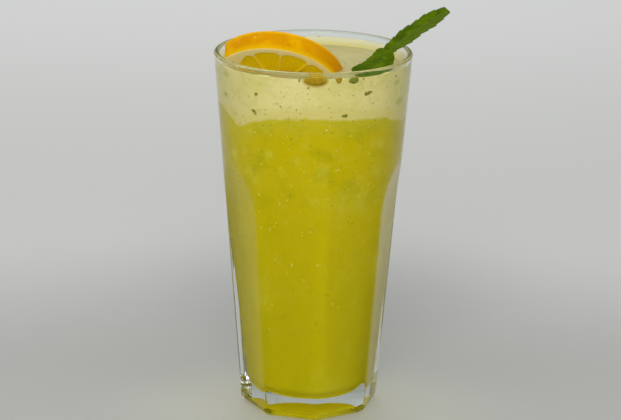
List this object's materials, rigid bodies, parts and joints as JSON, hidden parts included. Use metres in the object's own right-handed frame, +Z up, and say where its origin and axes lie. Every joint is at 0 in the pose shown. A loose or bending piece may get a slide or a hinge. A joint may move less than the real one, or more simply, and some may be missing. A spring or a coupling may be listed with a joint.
{
  "type": "glass of lemonade",
  "caption": "Tall tumbler with flat arched panels, filled with yellow lemonade under pale froth, with an orange slice and mint leaves at the rim.",
  "frame": {"origin": "middle of the tumbler's flat foot, on the surface it stands on", "axes": "+Z up along the tumbler's axis; -Y is the side that the picture shows; +X is the side where the mint leans out"},
  "size_m": [0.0989, 0.084, 0.1756],
  "materials": {
    "clear_glass": "clear pressed glass, polished",
    "lemonade": "cloudy yellow drink with green flecks",
    "froth": "pale fine froth",
    "orange": "waxy dimpled peel, moist flesh",
    "mint": "matt veined leaf"
  },
  "bodies": {
    "root": {"glass": "clear_glass", "lemonade": "lemonade", "froth": "froth", "orange_slice": "orange", "mint_leaf_upper": "mint", "mint_leaf_lower": "mint"}
  },
  "joints": []
}
